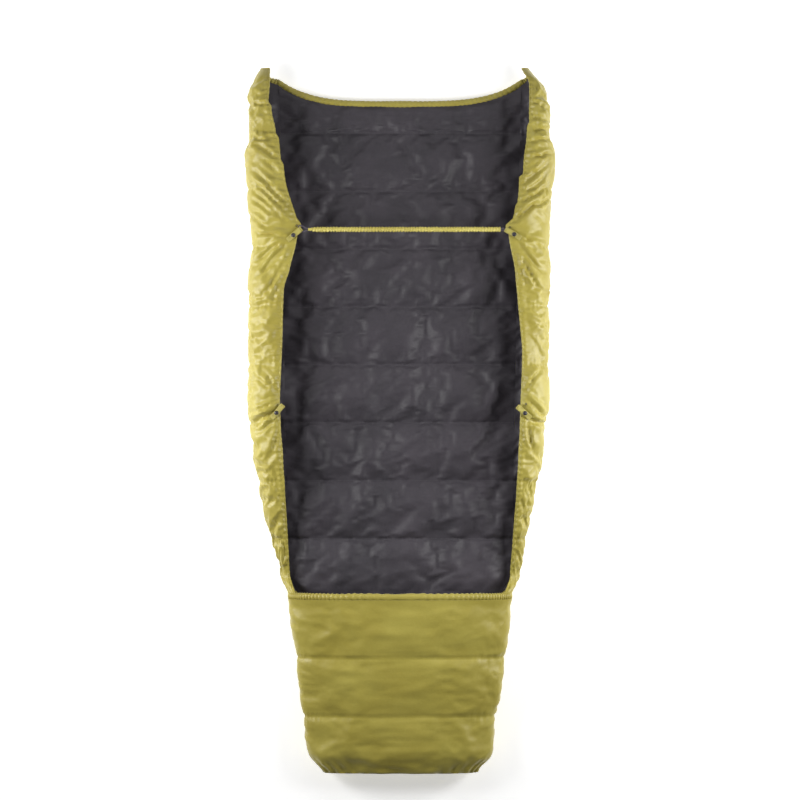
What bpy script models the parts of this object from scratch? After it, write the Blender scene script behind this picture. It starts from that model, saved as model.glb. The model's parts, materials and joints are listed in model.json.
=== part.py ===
"""Camp quilt, laid open with its outer face down, round the place of a sleeping pad.

Metres. X runs across the quilt, Y towards its head and Z up. The origin is on the ground,
under the middle. Two side flaps curl up and over from a hinge line each, a closed foot box
stands at the foot, and one elastic strap joins the flaps' upper snap tabs.
"""

import math
from bisect import bisect_right

import bmesh
import bpy
from mathutils import Matrix, Vector

GAP = 0.0003  # left between pieces that touch
SKIN = 0.001  # shell and liner cloth
BAFFLE = 0.0008  # mesh wall between two down chambers

# The chambers' cross seams are evenly spaced, counted from one near the middle.
SEAM_Y = -0.0058
CHAMBER = 0.1363
MOUTH_Y = SEAM_Y - 3 * CHAMBER  # where the foot box begins

# Bed
BED_THICK = 0.022
BED_CHAMBERS = 9
HEAD_MIDDLE_Y = 0.745
HEAD_RISE = 0.084  # how far the head edge's corners stand above its middle
HEAD_CORNER_X = 0.325
NECK_HEM_R = 0.0100
HEAD_STEPS = 16  # across the head edge of the bed's layers
NECK_HEM_STEPS = 20
PAST_HEAD = 1.0  # a Y past the whole head edge: a layer drawn up to it ends at that edge

# Foot box
FOOT_Y = -0.8237
FOOT_ROUND_Y = -0.755  # the foot end is rounded from here
FOOT_HALF_WIDTHS = (0.262, 0.218)  # at the mouth and where the rounding begins
FOOT_HEIGHTS = (0.098, 0.088)
FOOT_END_WIDTH = 0.70  # of the width, left at the very end
FOOT_END_HEIGHT = 0.36
FOOT_WALL = 0.018
FOOT_SQUARENESS = 4.0
FOOT_RING_POINTS = 28
FOOT_END_RINGS = 5  # over the rounded end
FOOT_CHAMBERS = 3
MOUTH_HEM_R = 0.0075
MOUTH_HEM_STEPS = 24
MOUTH_HEM_SINK = 0.02  # how far the hem's ends reach below the middle, in half turns

# Side flaps: |X| or Z against Y, from the foot end to the head
HINGE_Z = 0.012
HINGE_FOOT = (-0.36, 0.2624)
HINGE_HEAD = (0.822, 0.285)
OUTER_EDGE = {
    "left": ((-0.36, 0.277), (-0.291, 0.297), (-0.174, 0.324), (-0.046, 0.347), (0.048, 0.354),
             (0.328, 0.352), (0.403, 0.345), (0.515, 0.355), (0.69, 0.3595), (0.768, 0.349),
             (0.822, 0.328)),
    "right": ((-0.36, 0.277), (-0.256, 0.298), (-0.139, 0.321), (-0.034, 0.335), (0.048, 0.346),
              (0.35, 0.347), (0.445, 0.348), (0.60, 0.3595), (0.698, 0.352), (0.768, 0.334),
              (0.822, 0.304)),
}
INNER_EDGE = {
    "left": ((-0.36, 0.258), (-0.092, 0.270), (0.039, 0.277), (0.165, 0.272), (0.300, 0.268),
             (0.352, 0.254), (0.443, 0.236), (0.539, 0.261), (0.672, 0.286), (0.74, 0.302),
             (0.822, 0.303)),
    "right": ((-0.36, 0.258), (-0.162, 0.270), (0.034, 0.278), (0.153, 0.2816), (0.254, 0.2734),
              (0.347, 0.265), (0.442, 0.250), (0.464, 0.2606), (0.597, 0.284), (0.693, 0.297),
              (0.782, 0.300), (0.822, 0.283)),
}
OUTER_HEIGHT = ((-0.36, 0.022), (-0.25, 0.036), (-0.09, 0.050), (0.44, 0.056), (0.69, 0.052),
                (0.79, 0.044), (0.822, 0.032))
INNER_HEIGHT = ((-0.36, 0.031), (-0.25, 0.055), (-0.09, 0.092), (0.04, 0.099), (0.44, 0.102),
                (0.60, 0.097), (0.74, 0.084), (0.79, 0.070), (0.822, 0.046))
HALF_THICK = ((-0.36, 0.0045), (-0.25, 0.009), (0.76, 0.009), (0.822, 0.0035))
HEM_THINNING = 0.55  # of the thickness, lost at the hem
LEAST_TURN = 0.011  # smallest radius of a flap's two bends
BEND_MARGIN = 1.15  # by which the hem's bend stays wider than the half thickness
HEM_R = 0.0035
HEM_OFFSET = 0.0080  # from the hem's free edge to the end of the layers
HINGE_CLEARANCE = 0.0096
FLAP_STATIONS = 19
ARC_STEPS = 5

# Snap tabs: the place of the rounded nose, and how far the stitched end lies from it in X and Y
TABS = {
    "upper_left": ("left", (-0.2267, 0.4429), (-0.0339, -0.0280)),
    "upper_right": ("right", (0.2419, 0.4417), (0.0397, -0.0234)),
    "lower_left": ("left", (-0.2690, 0.0370), (-0.0257, -0.0304)),
    "lower_right": ("right", (0.2699, 0.0339), (0.0300, -0.0270)),
}
TAB_WIDTH = 0.012
TAB_THICK = 0.0012
TAB_SPACE = 0.0036  # between the two legs
TAB_FOLD_X = -0.0014  # of the fold's middle, from the hinge
TAB_LENGTH = 0.038  # of the stitched leg, from the hinge
TAB_LEAF_LENGTH = 0.0275
TAB_CLEARANCE = 0.0006
SNAP_X = 0.020
TAB_REST_FROM = 0.008  # from the nose: where the tab's leg begins to lie on the flap
TAB_REST_STEP = 0.006
TAB_REST_COUNT = 7
# Turned profiles: radius, then height above the sewn leg, under the leaf or above the leaf
STUD = ((0.0038, 0), (0.0038, 0.0007), (0.0019, 0.0008), (0.0019, 0.0018), (0.0021, 0.0022),
        (0.0014, 0.0027))
SOCKET = ((0.0042, 0), (0.0042, -0.0014), (0.0029, -0.0014), (0.0029, 0))
CAP = ((0.005, 0), (0.005, 0.0006), (0.004, 0.0014), (0.002, 0.0018))

# Strap
CORD_R = 0.0013
CORD_CLEARANCE = 0.0008
# The cord's route near its ends: ahead of and across the left fold, then from the far end in X, Y
NEAR_LOOP_UPPER = ((0, 0), (0, 0.0069), (0.0018, 0.0086), (0.0052, 0.0078), (0.0095, 0.0010))
NEAR_LOOP_LOWER = ((0, -0.0069), (0.0018, -0.0088), (0.0070, -0.0102))
FAR_LOOP = ((-0.0045, 0.0027), (-0.0012, 0.0020), (0, 0), (-0.0012, -0.0020), (-0.0045, -0.0027))
STRAND_SPACING = 0.0042
SLEEVE_X = (-0.2115, 0.2314)
SLEEVE_HALF_WIDTH = 0.0060
SLEEVE_HALF_HEIGHT = 0.0030
SLEEVE_SIDES = 12
SLEEVE_FLATNESS = 0.6  # below 1, the sleeve's top and bottom are flatter than an ellipse's
STRAIGHT_STEPS = 8  # along the strap between its two ends
LOOP_SPLITS = 2  # curve points per given point
BORE_HALF_WIDTH = 0.0039
BORE_HALF_HEIGHT = 0.0018

ROUND_SIDES = 14
CORD_BEVEL_STEPS = 2
SHARP_ANGLE = math.radians(40)
SIGN = {"left": -1, "right": 1}

COLOURS = {  # base colour, roughness, metallic
    "shell_nylon": ((0.47, 0.42, 0.10, 1), 0.45, 0.0),
    "liner_nylon": ((0.055, 0.05, 0.06, 1), 0.5, 0.0),
    "down": ((0.85, 0.84, 0.80, 1), 0.9, 0.0),
    "baffle_mesh": ((0.75, 0.75, 0.72, 1), 0.8, 0.0),
    "tab_webbing": ((0.44, 0.39, 0.09, 1), 0.5, 0.0),
    "strap_nylon": ((0.50, 0.40, 0.06, 1), 0.5, 0.0),
    "elastic_cord": ((0.09, 0.075, 0.10, 1), 0.7, 0.0),
    "snap_metal": ((0.05, 0.045, 0.05, 1), 0.35, 0.9),
}


def clear_scene():
    for found in list(bpy.data.objects):
        bpy.data.objects.remove(found, do_unlink=True)


def material(name):
    found = bpy.data.materials.get(name)
    if found:
        return found
    made = bpy.data.materials.new(name)
    made.use_nodes = True
    colour, roughness, metallic = COLOURS[name]
    shader = made.node_tree.nodes["Principled BSDF"]
    shader.inputs["Base Color"].default_value = colour
    shader.inputs["Roughness"].default_value = roughness
    shader.inputs["Metallic"].default_value = metallic
    return made


def place(name, data, material_name, parent=None):
    """Adds an object of this data; its parent's frame is the one its points are in."""
    data.materials.append(material(material_name))
    made = bpy.data.objects.new(name, data)
    bpy.context.scene.collection.objects.link(made)
    made.parent = parent
    return made


def frame_empty(name, matrix, parent=None):
    made = bpy.data.objects.new(name, None)
    bpy.context.scene.collection.objects.link(made)
    made.empty_display_size = 0.02
    made.parent = parent
    made.matrix_basis = matrix
    return made


def loft(name, rings, material_name, parent=None, cyclic=False, there_and_back=False):
    """One closed body through these rings of points, capped at both ends or joined round.

    Rings that run there and back along a thin layer get the same diagonals on both of its
    faces, so that neighbouring layers stay parallel.
    """
    mesh = bmesh.new()
    loops = [[mesh.verts.new(point) for point in ring] for ring in rings]
    pairs = list(zip(loops, loops[1:]))
    if cyclic:
        pairs.append((loops[-1], loops[0]))
    else:
        mesh.faces.new(loops[0])
        mesh.faces.new(loops[-1])
    for first, second in pairs:
        for i in range(len(first)):
            j = (i + 1) % len(first)
            if there_and_back and i >= len(first) // 2:
                mesh.faces.new((first[i], first[j], second[i]))
                mesh.faces.new((first[j], second[j], second[i]))
            elif there_and_back:
                mesh.faces.new((first[i], first[j], second[j]))
                mesh.faces.new((first[i], second[j], second[i]))
            else:
                mesh.faces.new((first[i], first[j], second[j], second[i]))
    bmesh.ops.recalc_face_normals(mesh, faces=mesh.faces)
    data = bpy.data.meshes.new(name)
    mesh.to_mesh(data)
    mesh.free()
    return place(name, data, material_name, parent)


def prism(name, outline, low, high, material_name, parent=None):
    """An outline in X and Y, extruded from one height to another."""
    rings = [[(x, y, z) for x, y in outline] for z in (low, high)]
    return loft(name, rings, material_name, parent)


def turned(name, profile, material_name, parent, centre_x, cyclic=False):
    """A profile of radius and height, turned about the snap's own axis."""
    turns = [2 * math.pi * i / ROUND_SIDES for i in range(ROUND_SIDES)]
    rings = [[(centre_x + r * math.cos(t), r * math.sin(t), z) for t in turns] for r, z in profile]
    return loft(name, rings, material_name, parent, cyclic)


def cord(name, points, radius, material_name, cyclic=False, parent=None):
    """A round solid of this radius along a line of points."""
    data = bpy.data.curves.new(name, "CURVE")
    data.dimensions = "3D"
    data.bevel_depth = radius
    data.bevel_resolution = CORD_BEVEL_STEPS
    data.use_fill_caps = True
    spline = data.splines.new("POLY")
    spline.points.add(len(points) - 1)
    for target, point in zip(spline.points, points):
        target.co = (*point, 1)
    spline.use_cyclic_u = cyclic
    return place(name, data, material_name, parent)


def through(points):
    """A smooth function through (place, value) points that never overshoots them."""
    places = [p for p, _ in points]
    values = [v for _, v in points]
    steps = [b - a for a, b in zip(places, places[1:])]
    slopes = [(b - a) / h for a, b, h in zip(values, values[1:], steps)]
    inner = [2 * a * b / (a + b) if a * b > 0 else 0 for a, b in zip(slopes, slopes[1:])]
    tangents = [slopes[0], *inner, slopes[-1]]

    def value(at):
        at = min(max(at, places[0]), places[-1])
        i = min(bisect_right(places, at) - 1, len(steps) - 1)
        t = (at - places[i]) / steps[i]
        start = (1 + 2 * t) * (1 - t) ** 2 * values[i] + t * t * (3 - 2 * t) * values[i + 1]
        turn = t * (1 - t) ** 2 * tangents[i] - t * t * (1 - t) * tangents[i + 1]
        return start + steps[i] * turn

    return value


outer_edge = {side: through(points) for side, points in OUTER_EDGE.items()}
inner_edge = {side: through(points) for side, points in INNER_EDGE.items()}
outer_height = through(OUTER_HEIGHT)
inner_height = through(INNER_HEIGHT)
half_thick = through(HALF_THICK)


def hinge_x(y):
    """|X| of both flaps' straight hinge lines."""
    (foot_y, foot_x), (far_y, far_x) = HINGE_FOOT, HINGE_HEAD
    return foot_x + (far_x - foot_x) * (y - foot_y) / (far_y - foot_y)


def head_y(x):
    """Y of the head edge, which is lowest in the middle."""
    return HEAD_MIDDLE_Y + HEAD_RISE * (abs(x) / HEAD_CORNER_X) ** 4


def head_layers_y(x):
    """Where the bed's layers end, clear of the neck hem that follows the head edge."""
    slope = 4 * HEAD_RISE / HEAD_CORNER_X * (abs(x) / HEAD_CORNER_X) ** 3
    return head_y(x) - (NECK_HEM_R + 2 * GAP) * math.sqrt(1 + slope**2)


def flap_section(side, y):
    """Middle line of a flap at this Y: (|x|, z, outward |x|, outward z, half thickness) per point."""
    half = half_thick(y)
    root_x = hinge_x(y)
    bulge_x = max(outer_edge[side](y) - half, root_x + LEAST_TURN)
    bulge_z = max(outer_height(y), HINGE_Z + LEAST_TURN)
    turn_x = max(bulge_x - inner_edge[side](y) - HEM_OFFSET, LEAST_TURN)
    turn_z = min(inner_height(y) - bulge_z, turn_x**2 / (BEND_MARGIN * half))
    section = []
    for i in range(ARC_STEPS + 1):
        a = 0.5 * math.pi * i / ARC_STEPS
        wide, tall = bulge_x - root_x, bulge_z - HINGE_Z
        out = Vector((tall * math.sin(a), -wide * math.cos(a))).normalized()
        x, z = root_x + wide * math.sin(a), bulge_z - tall * math.cos(a)
        section.append((x, z, out.x, out.y, half))
    for i in range(1, ARC_STEPS + 1):
        a = 0.5 * math.pi * i / ARC_STEPS
        out = Vector((turn_z * math.cos(a), turn_x * math.sin(a))).normalized()
        x, z = bulge_x - turn_x * (1 - math.cos(a)), bulge_z + turn_z * math.sin(a)
        thinning = 1 - HEM_THINNING * max(0.0, 2 * i / ARC_STEPS - 1) ** 2
        section.append((x, z, out.x, out.y, half * thinning))
    return section


def layer_row(side, y, face, depth):
    """Points at a depth under the flap's outer face (face 1) or its inner face (face -1)."""
    return [
        Vector((SIGN[side] * (x + face * (half - depth) * out_x), y, z + face * (half - depth) * out_z))
        for x, z, out_x, out_z, half in flap_section(side, y)
    ]


def layer_ring(side, y, face, depth, back_face, back_depth):
    """The closed outline, at this Y, of the layer between two such rows of points."""
    return layer_row(side, y, face, depth) + layer_row(side, y, back_face, back_depth)[::-1]


def flap_stations():
    first, last = HINGE_FOOT[0], HINGE_HEAD[0]
    return [first + (last - first) * i / (FLAP_STATIONS - 1) for i in range(FLAP_STATIONS)]


def flap_matrix(side):
    """The flap's own frame: its origin is on the hinge line and its Y axis lies along it."""
    foot = Vector((SIGN[side] * HINGE_FOOT[1], HINGE_FOOT[0], HINGE_Z))
    head = Vector((SIGN[side] * HINGE_HEAD[1], HINGE_HEAD[0], HINGE_Z))
    along = (head - foot).normalized()
    across = along.cross(Vector((0, 0, 1))).normalized()
    turn = Matrix((across, along, across.cross(along))).transposed()
    return Matrix.Translation(foot.lerp(head, 0.5)) @ turn.to_4x4()


def flap(side):
    """One side flap's shell, down, liner and hem, whose origins are all on its hinge line."""
    matrix = flap_matrix(side)
    parent = frame_empty(f"{side}_flap_hinge", matrix)
    to_flap = matrix.inverted()
    layers = {
        "shell": (1, 0.0, 1, SKIN, "shell_nylon"),
        "down": (1, SKIN + GAP, -1, SKIN + GAP, "down"),
        "liner": (-1, SKIN, -1, 0.0, "liner_nylon"),
    }
    for layer, (*faces, material_name) in layers.items():
        rings = [[to_flap @ p for p in layer_ring(side, y, *faces)] for y in flap_stations()]
        loft(f"{side}_flap_{layer}", rings, material_name, parent, there_and_back=True)
    path = [to_flap @ hem_point(side, y) for y in flap_stations()]
    cord(f"{side}_flap_hem", path, HEM_R, "shell_nylon", parent=parent)
    return parent


def hem_point(side, y):
    """A point on the middle of the hem's bead, just past the layers' ends."""
    x, z, _, _, _ = flap_section(side, y)[-1]
    return Vector((SIGN[side] * (x - HEM_OFFSET + HEM_R + GAP), y, z))


def flap_top(side, x, y):
    """Height of the top of the flap or of its hem at a place in plan."""
    section = flap_section(side, y)[ARC_STEPS:]
    rows = [(px + half * out_x, pz + half * out_z) for px, pz, out_x, out_z, half in section]
    rows.append((rows[-1][0] - HEM_OFFSET, max(rows[-1][1], hem_point(side, y).z + HEM_R)))
    rows.reverse()
    return through(rows)(abs(x))


def tab_matrix(side, nose, reach):
    """A tab's own frame: X from the nose to the stitched end, Y along its hinge, Z off the flap."""
    along = Vector((*reach, 0)).normalized()
    side_step = Vector((-along.y, along.x, 0)) * TAB_WIDTH / 2
    tip = Vector((*nose, 0))
    fold_out = TAB_SPACE / 2 + TAB_THICK - TAB_FOLD_X
    stations = [TAB_REST_FROM + TAB_REST_STEP * i for i in range(TAB_REST_COUNT)]

    def height(distance):
        spots = [tip + along * distance + side_step * k for k in (-1, 0, 1)]
        return max(flap_top(side, spot.x, spot.y) for spot in spots)

    heights = [height(distance) for distance in stations]
    slope = (heights[-1] - heights[0]) / (stations[-1] - stations[0])
    low = max(h - slope * d for h, d in zip(heights, stations)) + TAB_CLEARANCE
    axis_height = TAB_SPACE + 1.5 * TAB_THICK
    origin = tip + along * fold_out
    origin.z = low + slope * fold_out + axis_height
    x_axis = Vector((along.x, along.y, slope)).normalized()
    y_axis = Vector((0, 0, 1)).cross(x_axis).normalized()
    turn = Matrix((x_axis, y_axis, x_axis.cross(y_axis))).transposed()
    return Matrix.Translation(origin) @ turn.to_4x4()


def box_strip(name, profile, material_name, parent):
    """A strip as wide as a tab, whose outline in X and Z is given."""
    rings = [[(x, y, z) for x, z in profile] for y in (-TAB_WIDTH / 2, TAB_WIDTH / 2)]
    return loft(name, rings, material_name, parent)


def tab_base_profile():
    """The stitched leg and the nose fold, as one bent strip."""
    top = -TAB_THICK / 2 - TAB_SPACE
    middle_z = -TAB_THICK / 2 - TAB_SPACE / 2
    inner, outer = TAB_SPACE / 2, TAB_SPACE / 2 + TAB_THICK
    turns = [math.pi * (0.5 + i / 6) for i in range(7)]
    outside = [(TAB_FOLD_X + outer * math.cos(a), middle_z + outer * math.sin(a)) for a in turns]
    inside = [(TAB_FOLD_X + inner * math.cos(a), middle_z + inner * math.sin(a)) for a in turns]
    return [*outside, (TAB_LENGTH, top - TAB_THICK), (TAB_LENGTH, top), *inside[::-1]]


def raised(profile, by):
    return [(radius, height + by) for radius, height in profile]


def snap_tab(name, side, nose, reach, flap_parent):
    """A folded tab: its stitched leg and stud stay on the flap, its leaf, cap and socket turn."""
    matrix = tab_matrix(side, nose, reach)
    to_flap = flap_parent.matrix_basis.inverted() @ matrix
    fixed = frame_empty(f"tab_{name}_seat", to_flap, flap_parent)
    hinge = frame_empty(f"tab_{name}_hinge", to_flap, flap_parent)
    box_strip(f"tab_{name}_base", tab_base_profile(), "tab_webbing", fixed)
    half = TAB_THICK / 2
    turns = [math.pi * (0.5 + i / 4) for i in range(5)]
    leaf = [(half * math.cos(a), half * math.sin(a)) for a in turns]
    leaf += [(TAB_LEAF_LENGTH, -half), (TAB_LEAF_LENGTH, half)]
    box_strip(f"tab_{name}_leaf", leaf, "tab_webbing", hinge)
    turned(f"stud_{name}", raised(STUD, -half - TAB_SPACE + GAP), "snap_metal", fixed, SNAP_X)
    socket = raised(SOCKET, -half - GAP)
    turned(f"socket_{name}", socket, "snap_metal", hinge, SNAP_X, cyclic=True)
    turned(f"cap_{name}", raised(CAP, half + GAP), "snap_metal", hinge, SNAP_X)
    return matrix


def bed_edge_x(y):
    """Half of the bed's width, short of the hinge lines."""
    return hinge_x(y) - HINGE_CLEARANCE


def bed_outline(low_y, high_y):
    """Outline of the bed between two cross lines; the head edge replaces a line beyond it."""
    top_x = bed_edge_x(min(high_y, head_y(bed_edge_x(high_y))))
    across = [top_x * (1 - 2 * i / HEAD_STEPS) for i in range(HEAD_STEPS + 1)]
    top = [(x, min(high_y, head_layers_y(x))) for x in across]
    low_x = bed_edge_x(low_y)
    return [(-low_x, low_y), (low_x, low_y), *top]


def bed():
    """Shell, liner, down chambers and mesh baffles of the flat middle, and the neck hem."""
    whole = bed_outline(MOUTH_Y + GAP, PAST_HEAD)
    prism("bed_shell", whole, 0, SKIN, "shell_nylon")
    prism("bed_liner", whole, BED_THICK - SKIN, BED_THICK, "liner_nylon")
    low, high = SKIN + GAP, BED_THICK - SKIN - GAP
    half_wall = BAFFLE / 2
    for i in range(BED_CHAMBERS):
        foot = MOUTH_Y + i * CHAMBER
        near = foot + (half_wall + GAP if i else GAP)
        far = foot + CHAMBER - half_wall - GAP if i < BED_CHAMBERS - 1 else PAST_HEAD
        prism(f"bed_down_{i + 1:02d}", bed_outline(near, far), low, high, "down")
        if i:
            wall = bed_outline(foot - half_wall, foot + half_wall)
            prism(f"bed_baffle_{i:02d}", wall, low, high, "baffle_mesh")
    reach = bed_edge_x(HINGE_HEAD[0])
    across = [reach * (1 - 2 * i / NECK_HEM_STEPS) for i in range(NECK_HEM_STEPS + 1)]
    path = [(x, head_y(x), NECK_HEM_R + GAP) for x in across]
    cord("neck_hem", path, NECK_HEM_R, "shell_nylon")


def foot_ring(y, depth, part=None, steps=FOOT_RING_POINTS):
    """Outline of the foot box at this Y, at a depth under its outer face."""
    end = FOOT_Y + depth
    run = (MOUTH_Y - y) / (MOUTH_Y - FOOT_ROUND_Y)
    blend = min(run, 1.0)
    wide = FOOT_HALF_WIDTHS[0] + (FOOT_HALF_WIDTHS[1] - FOOT_HALF_WIDTHS[0]) * blend - depth
    tall = (FOOT_HEIGHTS[0] + (FOOT_HEIGHTS[1] - FOOT_HEIGHTS[0]) * blend) / 2 - depth
    if y < FOOT_ROUND_Y:
        u = min(1.0, (FOOT_ROUND_Y - y) / (FOOT_ROUND_Y - end))
        round_off = math.sqrt(1 - u * u)
        wide *= FOOT_END_WIDTH + (1 - FOOT_END_WIDTH) * round_off
        tall *= FOOT_END_HEIGHT + (1 - FOOT_END_HEIGHT) * round_off
    middle = foot_middle_z(y)
    start, stop = part or (0, 2 * math.pi)
    count = steps if part is None else steps + 1
    ring = []
    for i in range(count):
        a = start + (stop - start) * i / steps
        c, s = math.cos(a), math.sin(a)
        power = 2 / FOOT_SQUARENESS
        x = wide * math.copysign(abs(c) ** power, c)
        z = middle + tall * math.copysign(abs(s) ** power, s)
        ring.append((x, y, z))
    return ring


def foot_middle_z(y):
    run = min(1.0, (MOUTH_Y - y) / (MOUTH_Y - FOOT_ROUND_Y))
    return (FOOT_HEIGHTS[0] + (FOOT_HEIGHTS[1] - FOOT_HEIGHTS[0]) * run) / 2


def foot_rings(from_y, depth, to_y=None):
    """Rings at one depth from a cross line to another, or to the rounded end."""
    if to_y is not None:
        return [foot_ring(from_y, depth), foot_ring(to_y, depth)]
    straight = [from_y, FOOT_ROUND_Y] if from_y > FOOT_ROUND_Y else [from_y]
    end = FOOT_Y + depth
    turns = [0.5 * math.pi * i / FOOT_END_RINGS for i in range(1, FOOT_END_RINGS + 1)]
    bent = [FOOT_ROUND_Y + (end - FOOT_ROUND_Y) * math.sin(a) for a in turns]
    return [foot_ring(y, depth) for y in (*straight, *bent)]


def foot_bag(name, from_y, outer, inner, material_name):
    """A wall between two depths, open at from_y and closed at the foot end."""
    rings = foot_rings(from_y, inner)[::-1] + foot_rings(from_y, outer)
    loft(name, rings, material_name)


def foot_tube(name, from_y, to_y, outer, inner, material_name):
    """A wall between two depths, open at both ends."""
    rings = foot_rings(from_y, outer, to_y) + foot_rings(from_y, inner, to_y)[::-1]
    loft(name, rings, material_name, cyclic=True)


def foot_box():
    """Shell, liner, three rings of down, two baffles and the mouth's hem."""
    foot_bag("foot_shell", MOUTH_Y, 0.0, SKIN, "shell_nylon")
    foot_bag("foot_liner", MOUTH_Y, FOOT_WALL - SKIN, FOOT_WALL, "liner_nylon")
    outer, inner = SKIN + GAP, FOOT_WALL - SKIN - GAP
    half_wall = BAFFLE / 2
    for i in range(FOOT_CHAMBERS):
        near = MOUTH_Y - i * CHAMBER - (half_wall + GAP if i else GAP)
        far = MOUTH_Y - (i + 1) * CHAMBER + half_wall + GAP
        name = f"foot_down_{i + 1:02d}"
        if i < FOOT_CHAMBERS - 1:
            foot_tube(name, near, far, outer, inner, "down")
            wall = MOUTH_Y - (i + 1) * CHAMBER
            baffle = f"foot_baffle_{i + 1:02d}"
            foot_tube(baffle, wall + half_wall, wall - half_wall, outer, inner, "baffle_mesh")
        else:
            foot_bag(name, near, outer, inner, "down")
    over = (-MOUTH_HEM_SINK * math.pi, (1 + MOUTH_HEM_SINK) * math.pi)
    rim = foot_ring(MOUTH_Y, FOOT_WALL / 2, part=over, steps=MOUTH_HEM_STEPS)
    path = [(x, y + MOUTH_HEM_R + 2 * GAP, z) for x, y, z in rim]
    cord("foot_mouth_hem", path, MOUTH_HEM_R, "shell_nylon")


def strap(left_matrix, right_matrix, flap_parent):
    """The ruched sleeve and the doubled elastic cord, which turn about the left tab's fold.

    The cord is a loop. It passes through the left tab's fold, and its far end stops just short
    of the right tab's nose.
    """
    fold = Vector((TAB_FOLD_X, 0, -TAB_THICK / 2 - TAB_SPACE / 2))
    left = left_matrix @ fold
    tab_axes = left_matrix.to_3x3()
    forward = tab_axes @ Vector((-1, 0, 0))
    across = tab_axes @ Vector((0, -1, 0))
    right_fold = right_matrix @ fold
    end = Vector((TABS["upper_right"][1][0] - CORD_R - CORD_CLEARANCE, left.y, right_fold.z)) - left
    at_left = flap_parent.matrix_basis.inverted() @ Matrix.Translation(left)
    pivot = frame_empty("strap_hinge", at_left, flap_parent)

    def on_line(x):
        return end * ((x - left.x) / end.x)

    half_gap = Vector((0, STRAND_SPACING / 2, 0))
    start, stop = on_line(SLEEVE_X[0]), on_line(SLEEVE_X[1])
    run = [start.lerp(stop, i / STRAIGHT_STEPS) for i in range(STRAIGHT_STEPS + 1)]
    upper = [forward * a + across * b for a, b in NEAR_LOOP_UPPER] + [p + half_gap for p in run]
    lower = [forward * a + across * b for a, b in NEAR_LOOP_LOWER] + [p - half_gap for p in run]
    far = [end + Vector((x, y, 0)) for x, y in FAR_LOOP]
    path = [*upper, *far, *lower[::-1]]
    cord("strap_elastic", smooth_closed(path), CORD_R, "elastic_cord", cyclic=True, parent=pivot)
    outside = [oval(p, SLEEVE_HALF_WIDTH, SLEEVE_HALF_HEIGHT) for p in (start, stop)]
    inside = [oval(p, BORE_HALF_WIDTH, BORE_HALF_HEIGHT) for p in (stop, start)]
    loft("strap_sleeve", outside + inside, "strap_nylon", pivot, cyclic=True)


def oval(point, half_width, half_height):
    """A flattened ring round a point, facing along X."""
    ring = []
    for i in range(SLEEVE_SIDES):
        a = 2 * math.pi * i / SLEEVE_SIDES
        rise = half_height * math.copysign(abs(math.sin(a)) ** SLEEVE_FLATNESS, math.sin(a))
        ring.append((point.x, point.y + half_width * math.cos(a), point.z + rise))
    return ring


def smooth_closed(points):
    """Points along a smooth closed curve through these."""
    found = []
    count = len(points)
    for i in range(count):
        a, b, c, d = (points[(i + k) % count] for k in (-1, 0, 1, 2))
        for j in range(LOOP_SPLITS):
            t = j / LOOP_SPLITS
            bend = 2 * b + (c - a) * t + (2 * a - 5 * b + 4 * c - d) * t**2
            found.append((bend + (3 * b - a - 3 * c + d) * t**3) / 2)
    return found


def shade_round():
    """Smooth shading over curved faces, with sharp edges kept."""
    for made in bpy.data.objects:
        if made.type == "MESH":
            made.data.shade_smooth()
            made.data.set_sharp_from_angle(angle=SHARP_ANGLE)


def main():
    clear_scene()
    bed()
    foot_box()
    parents = {side: flap(side) for side in SIGN}
    frames = {}
    for name, (side, nose, reach) in TABS.items():
        frames[name] = snap_tab(name, side, nose, reach, parents[side])
    strap(frames["upper_left"], frames["upper_right"], parents["left"])
    shade_round()


main()
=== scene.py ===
"""The looks of the camp quilt: quilted shell and liner, foot box, hems, snap tabs and strap."""

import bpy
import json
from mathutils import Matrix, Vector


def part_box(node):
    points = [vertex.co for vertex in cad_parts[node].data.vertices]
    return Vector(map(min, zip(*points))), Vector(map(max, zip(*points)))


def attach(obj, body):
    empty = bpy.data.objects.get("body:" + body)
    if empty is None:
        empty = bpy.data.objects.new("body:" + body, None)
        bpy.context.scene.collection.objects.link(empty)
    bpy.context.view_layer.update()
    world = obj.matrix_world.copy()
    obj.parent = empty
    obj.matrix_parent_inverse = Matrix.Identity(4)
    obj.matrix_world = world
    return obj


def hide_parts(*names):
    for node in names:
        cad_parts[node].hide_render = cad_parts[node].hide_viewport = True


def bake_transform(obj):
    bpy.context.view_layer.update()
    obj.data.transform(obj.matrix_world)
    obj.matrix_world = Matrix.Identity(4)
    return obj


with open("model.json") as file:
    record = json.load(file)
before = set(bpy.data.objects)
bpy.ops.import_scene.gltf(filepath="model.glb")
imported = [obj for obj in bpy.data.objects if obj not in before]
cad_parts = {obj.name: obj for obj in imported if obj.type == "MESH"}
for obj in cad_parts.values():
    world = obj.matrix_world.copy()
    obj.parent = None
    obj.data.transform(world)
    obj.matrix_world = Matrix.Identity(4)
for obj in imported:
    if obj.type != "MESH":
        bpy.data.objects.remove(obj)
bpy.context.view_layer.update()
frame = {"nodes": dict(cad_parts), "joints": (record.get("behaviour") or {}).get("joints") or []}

import json
import math
from bisect import bisect_right

import bmesh
import bpy
import numpy as np
from mathutils import Matrix, Vector, noise

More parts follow.
